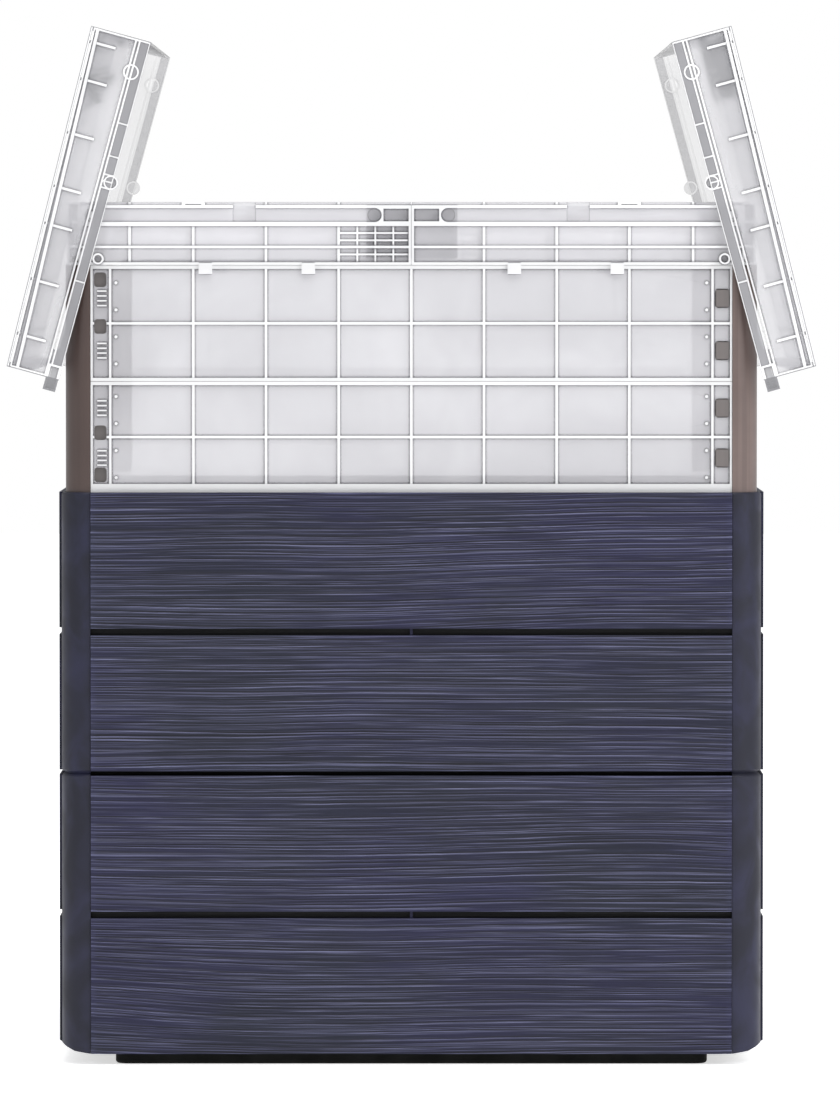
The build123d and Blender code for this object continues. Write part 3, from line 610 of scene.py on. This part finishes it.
def aim_at(thing, place, aim):
    """Puts a camera or a light at a place, pointing at another."""
    thing.location = place
    thing.rotation_euler = (aim - place).to_track_quat("-Z", "Y").to_euler()
    bpy.context.scene.collection.objects.link(thing)


def area_light(name, place, size, energy):
    data = bpy.data.lights.new(name, "AREA")
    data.shape = "RECTANGLE"
    data.size, data.size_y = size
    data.energy = energy
    aim_at(bpy.data.objects.new(name, data), Vector(place), LIGHT_AIM)


def sky():
    """A white backdrop for the camera; for light, a room that is paler above than below."""
    world = bpy.data.worlds.new("studio")
    world.use_nodes = True
    tree = world.node_tree
    room = tree.nodes["Background"]
    room.inputs["Color"].default_value = ROOM_COLOUR
    backdrop = tree.nodes.new("ShaderNodeBackground")
    backdrop.inputs["Color"].default_value = WHITE
    axes = tree.nodes.new("ShaderNodeSeparateXYZ")
    tree.links.new(tree.nodes.new("ShaderNodeTexCoord").outputs["Generated"], axes.inputs[0])
    height = tree.nodes.new("ShaderNodeMapRange")
    height.interpolation_type = "SMOOTHSTEP"
    for socket, value in zip(list(height.inputs)[1:5], ROOM_LIGHT):
        socket.default_value = value
    tree.links.new(axes.outputs[2], height.inputs["Value"])
    tree.links.new(height.outputs["Result"], room.inputs["Strength"])
    rays = tree.nodes.new("ShaderNodeLightPath")
    choose = tree.nodes.new("ShaderNodeMixShader")
    tree.links.new(rays.outputs["Is Camera Ray"], choose.inputs["Fac"])
    tree.links.new(room.outputs[0], choose.inputs[1])
    tree.links.new(backdrop.outputs[0], choose.inputs[2])
    tree.links.new(choose.outputs[0], tree.nodes["World Output"].inputs["Surface"])
    bpy.context.scene.world = world


def pale_floor():
    """A white floor that glows a little, so that the object's shadow on it stays faint."""
    m = Material("floor", Roughness=0.9, Emission_Color=WHITE, Emission_Strength=FLOOR_GLOW)
    m.drive(Base_Color=m.mix(m.noise(m.place, 3.0), FLOOR_DARK, FLOOR_PALE))
    bpy.ops.mesh.primitive_plane_add(size=FLOOR_SIZE)
    floor = bpy.context.object
    floor.name = "floor"
    floor.data.materials.append(m.data)


def camera():
    data = bpy.data.cameras.new("camera")
    data.lens = CAMERA_LENS
    data.sensor_width = 36
    data.clip_end = 100
    cam = bpy.data.objects.new("camera", data)
    aim_at(cam, CAMERA_PLACE, CAMERA_AIM)
    bpy.context.scene.camera = cam


# ---- Build ----
sky()
pale_floor()
camera()
area_light("key", (2.9, -2.3, 2.3), (2.5, 2.5), 75)
area_light("top", (0.3, -1.4, 3.4), (3.0, 2.0), 60)
bpy.context.scene.view_settings.view_transform = "Standard"
bpy.context.scene.cycles.transparent_max_bounces = CLEAR_BOUNCES
bpy.context.scene.cycles.transmission_bounces = BOUNCES
bpy.context.scene.cycles.max_bounces = BOUNCES

plank = plank_plastic()
for tier_number, tier in enumerate(("lower", "upper")):
    for side_number, side in enumerate(SIDE_ANGLE):
        grained_wall(tier, side, 1000 * tier_number + 100 * side_number + 7, plank)
paint([n for n in NODES if "_corner_" in n] + ["tier_plugs"], corner_plastic())
paint(["base_tray"], tray_plastic())
paint([n for n in NODES if n.startswith("post_")], post_plastic())
panel = clear_plastic("panel_plastic", beyond(PANEL_RIBS), upright_flatness)
paint([n for n in NODES if "_panel_" in n], panel)
rail = clear_plastic("rail_plastic", beyond(RAIL_RIBS), upright_flatness)
paint([n for n in NODES if n.startswith("top_rail_") or n == "frame_clips"], rail)
latch = clear_plastic("latch_plastic", beyond(RAIL_RIBS), upright_flatness, everything)
paint(["joiner_front", "joiner_back"], latch)
lid = clear_plastic(
    "lid_plastic", lid_ribs, lid_flatness, lid_smoke, lid_contour, lid_clearness, lid_body
)
paint([n for n in NODES if n.endswith(("_lid", "_pivot_pins"))], lid)
for name in NODES:
    is_clear_wall = "_panel_" in name or name.endswith("_lid")
    if is_clear_wall or name.startswith(("top_rail_", "joiner_", "frame_clips")):
        soften(NODES[name])
